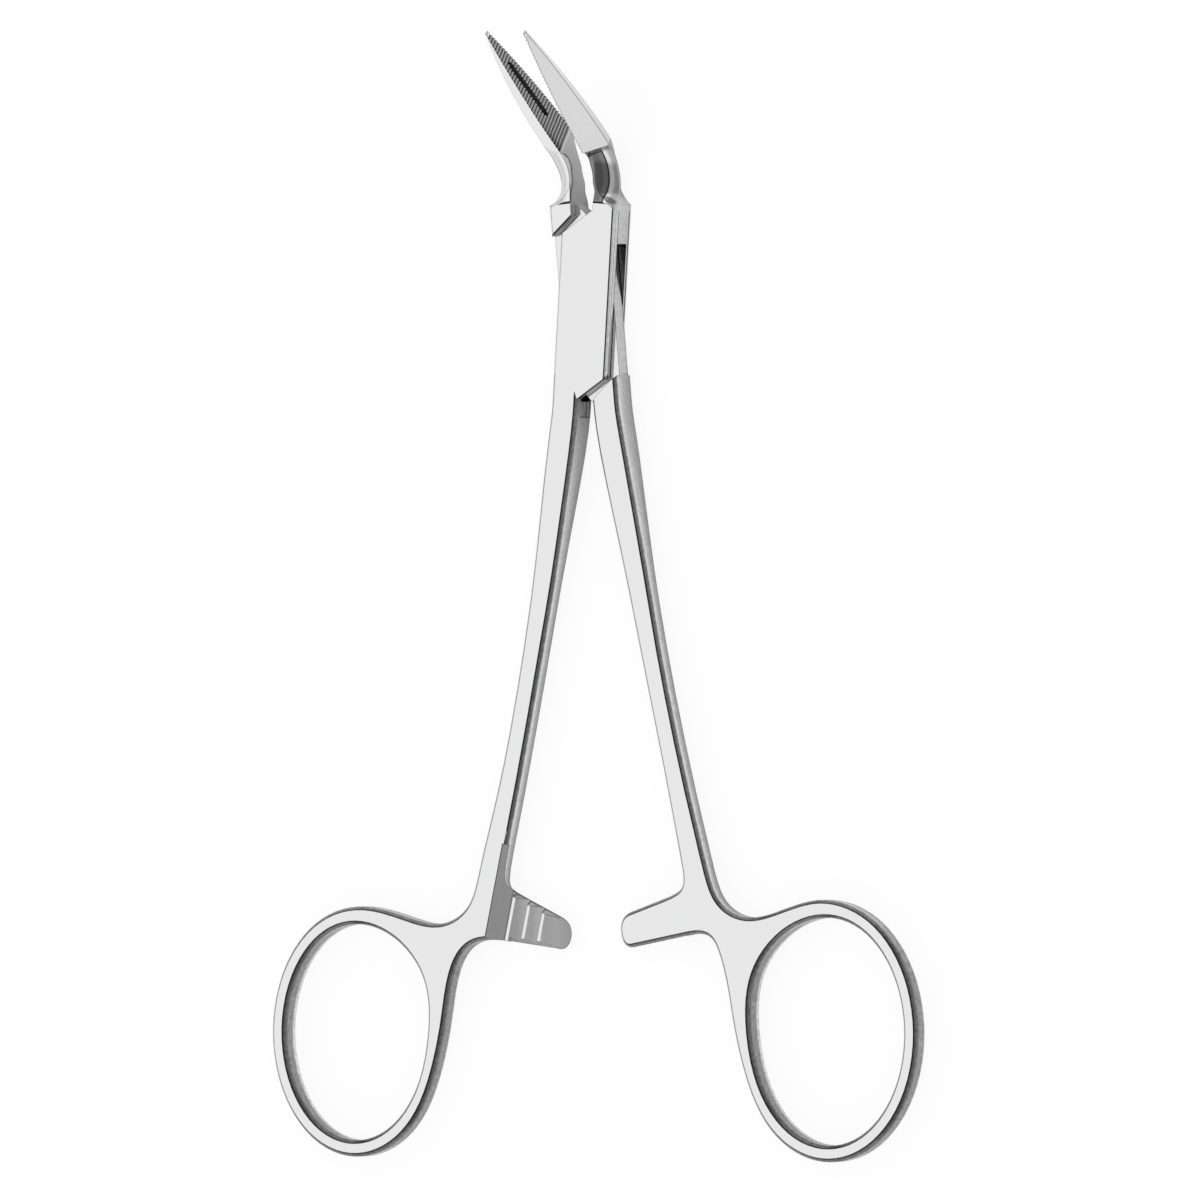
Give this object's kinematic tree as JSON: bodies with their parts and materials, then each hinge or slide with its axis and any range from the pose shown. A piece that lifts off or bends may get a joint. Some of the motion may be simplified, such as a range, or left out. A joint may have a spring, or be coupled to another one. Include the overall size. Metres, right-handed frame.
{
  "type": "splinter forceps",
  "caption": "Ring-handled splinter forceps with a box lock, a ratchet between the handles and slender serrated jaws that bend up from the lock.",
  "frame": {"origin": "on the pivot axis, at the underside of the box lock, which the forceps lie on", "axes": "+Y points along the lock to the jaws and -Y to the finger rings; +Z is the way the jaws bend, straight up from the underside; +X is to the right seen from above with the jaws away from the viewer"},
  "size_m": [0.0967, 0.1405, 0.0205],
  "materials": {
    "instrument_steel": "fine satin to mirror polish on ground stainless steel",
    "rivet_steel": "ground flush and polished with the lock"
  },
  "bodies": {
    "box_side": {"box_half": "instrument_steel", "pivot_pin": "rivet_steel"},
    "tongue_side": {"tongue_half": "instrument_steel"}
  },
  "joints": [
    {"name": "lock_hinge", "type": "hinge", "parent": "box_side", "child": "tongue_side", "pos_m": [0, 0, 0], "axis": [0, 0, 1], "range_deg": [-9.2, 50.8]}
  ]
}
